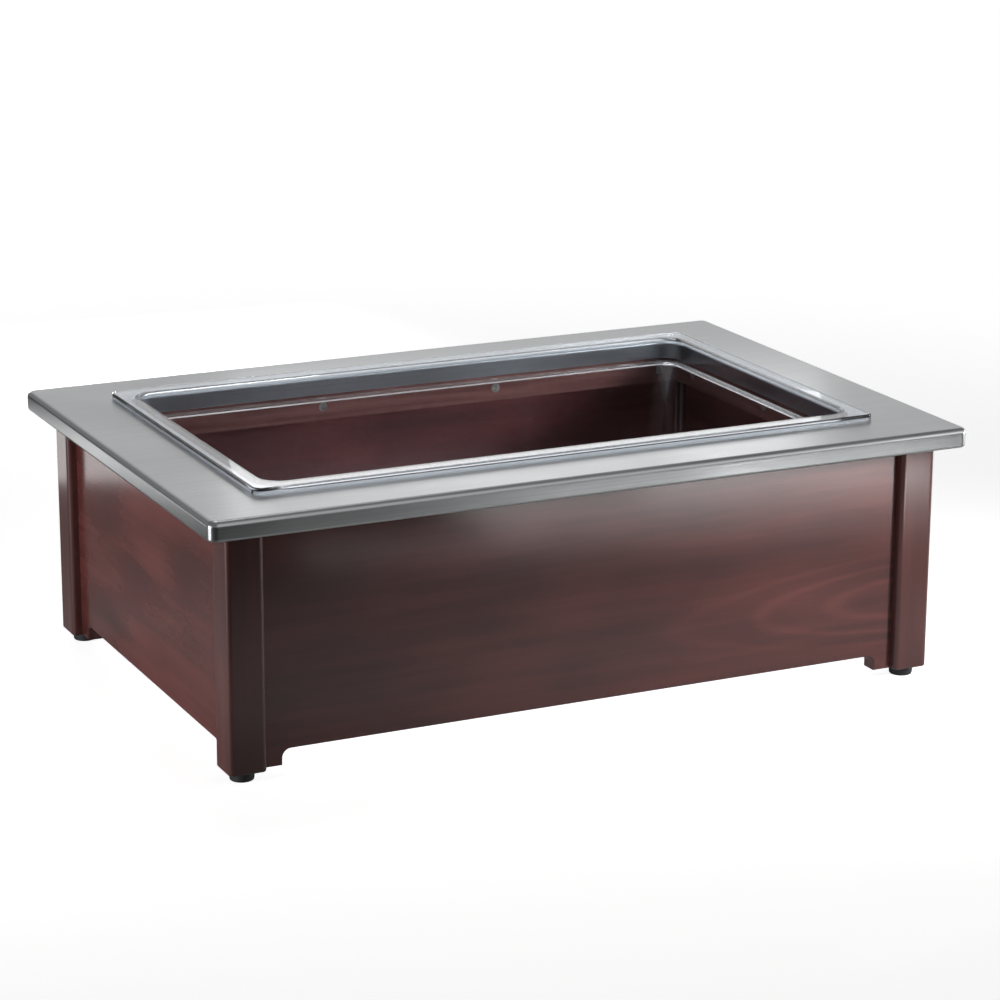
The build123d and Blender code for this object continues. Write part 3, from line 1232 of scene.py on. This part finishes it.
@dataclass
class Studio:
    """Pale floor, soft lights, white surround and the camera at the photograph's angle.

    In gloss the surround is a dim room with a paler horizon and two soft white patches: a wall behind the
    object and a window in front of it, each given by the way to it.
    """

    floor_size: float = 30.0
    ambient: float = 0.01
    room: float = 0.28
    horizon: float = 0.4
    horizon_low: float = 0.05
    horizon_high: float = 0.5
    wall: Triple = (0.43, 0.87, 0.25)
    window: Triple = (0.5, -0.8, 0.33)
    patch_edge: float = 0.72
    patch_full: float = 0.95
    patch_glow: float = 0.95
    azimuth: float = 25.6543
    elevation: float = 15.946
    roll: float = 0.2473
    aim: Triple = (0.0, 0.0, 0.12)
    aim_right: float = 0.01043
    aim_up: float = 0.0126
    distance: float = 2.6148
    lens: float = 115.378
    sensor: float = 36.0
    lights: tuple[SoftBox, ...] = (
        SoftBox(
            "right_key", (0.8, -0.9, 0.5), (0.3, -0.19, 0.14), (0.25, 0.25), 0.76, spread=44.0, mirrored=False
        ),
        SoftBox("key_glint", (0.8, -0.9, 0.5), (0.29, -0.19, 0.2), (0.3, 0.3), 0.5, lights_matt=False),
        SoftBox("far_strip", (0.4, -0.74, 0.008), (0.3, -0.19, 0.17), (0.5, 0.014), 0.046, spread=90.0),
        SoftBox("right_strip", (0.5, -0.74, 0.008), (0.35, -0.19, 0.17), (0.3, 0.014), 0.032, spread=90.0),
        SoftBox("near_strip", (0.4, -0.66, 0.008), (0.3, -0.19, 0.15), (0.5, 0.014), 0.024, spread=90.0),
        SoftBox("low_strip", (0.3, -0.6, 0.008), (0.2, -0.19, 0.13), (0.7, 0.014), 0.011, spread=90.0),
        SoftBox("right_rake", (1.3, -0.24, 0.16), (-0.25, -0.19, 0.1), (0.5, 0.12), 1.2, spread=60.0),
        SoftBox("left_fill", (-1.4, -0.12, 0.12), (-0.3, 0.0, 0.12), (0.4, 0.2), 1.5, spread=60.0),
        SoftBox("back_strip", (-0.552, 0.602, 0.036), (-0.3, 0.1, 0.12), (0.35, 0.07), 0.016, spread=60.0),
        SoftBox("back_card", (0.185, 0.3, 0.36), (0.01, -0.19, 0.21), (0.55, 0.12), 0.14, spread=140.0),
        SoftBox("back_fill", (0.1, 1.4, 0.1), (0.0, 0.2, 0.1), (0.6, 0.14), 1.2, spread=60.0),
        SoftBox("overhead", (0.1, 0.5, 1.8), (0.0, 0.0, 0.1), (0.8, 0.5), 0.4, spread=45.0),
    )

    def floor(self) -> None:
        """Lays the floor."""
        mesh = bmesh.new()
        bmesh.ops.create_grid(mesh, x_segments=1, y_segments=1, size=self.floor_size / 2)
        data = bpy.data.meshes.new("studio_floor")
        mesh.to_mesh(data)
        mesh.free()
        data.materials.append(FloorPaper("white_studio_paper").material())
        floor = bpy.data.objects.new("studio_floor", data)
        bpy.context.scene.collection.objects.link(floor)

    def world(self) -> None:
        """Makes the surround: white to the eye, a dim room in gloss and almost dark to the rest."""
        made = bpy.data.worlds.new("studio_surround")
        bpy.context.scene.world = made
        made.use_nodes = True
        tree = made.node_tree
        tree.nodes.clear()
        look = add_node(tree, "TexCoord").outputs["Generated"]
        height = add_node(tree, "SeparateXYZ", {0: look}).outputs["Z"]
        mirrored = add_node(
            tree,
            "MapRange",
            {
                "Value": height,
                "From Min": self.horizon_low,
                "From Max": self.horizon_high,
                "To Min": self.horizon,
                "To Max": self.room,
            },
            interpolation_type="SMOOTHSTEP",
        )
        for way in (self.wall, self.window):
            facing = add_node(tree, "VectorMath", {0: look, 1: way}, operation="DOT_PRODUCT").outputs["Value"]
            patch = add_node(
                tree,
                "MapRange",
                {
                    "Value": facing,
                    "From Min": self.patch_edge,
                    "From Max": self.patch_full,
                    "To Max": self.patch_glow,
                },
                interpolation_type="SMOOTHSTEP",
            )
            mirrored = add_node(tree, "Math", {0: mirrored, 1: patch}, operation="MAXIMUM")
        gloss = seen(tree, "Is Glossy Ray")
        mirror = add_node(tree, "Math", {0: gloss, 1: mirrored}, operation="MULTIPLY")
        eye = seen(tree, "Is Camera Ray", "Is Transmission Ray")
        shown = add_node(tree, "Math", {0: mirror, 1: eye}, operation="MAXIMUM")
        strength = add_node(tree, "Math", {0: shown, 1: self.ambient}, operation="MAXIMUM")
        glow = add_node(tree, "Background", {"Strength": strength})
        add_node(tree, "OutputWorld", {"Surface": glow})

    def camera(self) -> None:
        """Sets the camera at the photograph's place and turn."""
        azimuth, elevation, roll = (math.radians(a) for a in (self.azimuth, self.elevation, self.roll))
        back = Vector(
            (
                -math.sin(azimuth) * math.cos(elevation),
                -math.cos(azimuth) * math.cos(elevation),
                math.sin(elevation),
            )
        )
        level = Vector((0.0, 0.0, 1.0)).cross(back).normalized()
        plumb = back.cross(level)
        right = math.cos(roll) * level + math.sin(roll) * plumb
        up = math.cos(roll) * plumb - math.sin(roll) * level
        data = bpy.data.cameras.new("photo_camera")
        data.lens = self.lens
        data.sensor_width = self.sensor
        camera = bpy.data.objects.new("photo_camera", data)
        bpy.context.scene.collection.objects.link(camera)
        place = Vector(self.aim) + self.aim_right * right + self.aim_up * up + self.distance * back
        axes = Matrix((right, up, back)).transposed().to_4x4()
        camera.matrix_world = Matrix.Translation(place) @ axes
        bpy.context.scene.camera = camera

    def build(self) -> None:
        """Sets the whole studio."""
        self.floor()
        self.world()
        for light in self.lights:
            light.build()
        self.camera()
        bpy.context.scene.view_settings.view_transform = "Standard"


def main() -> None:
    """Builds each sub-assembly in turn, then the studio."""
    logging.basicConfig(level=logging.INFO, format="%(message)s")
    for assembly in (FoodPan(), SteelTop(), Carcass(), Feet(), Joinery()):
        for piece in assembly.build():
            log.info("%s: %s with %d faces", type(assembly).__name__, piece.name, len(piece.data.polygons))
    Studio().build()


if __name__ == "__main__":
    main()
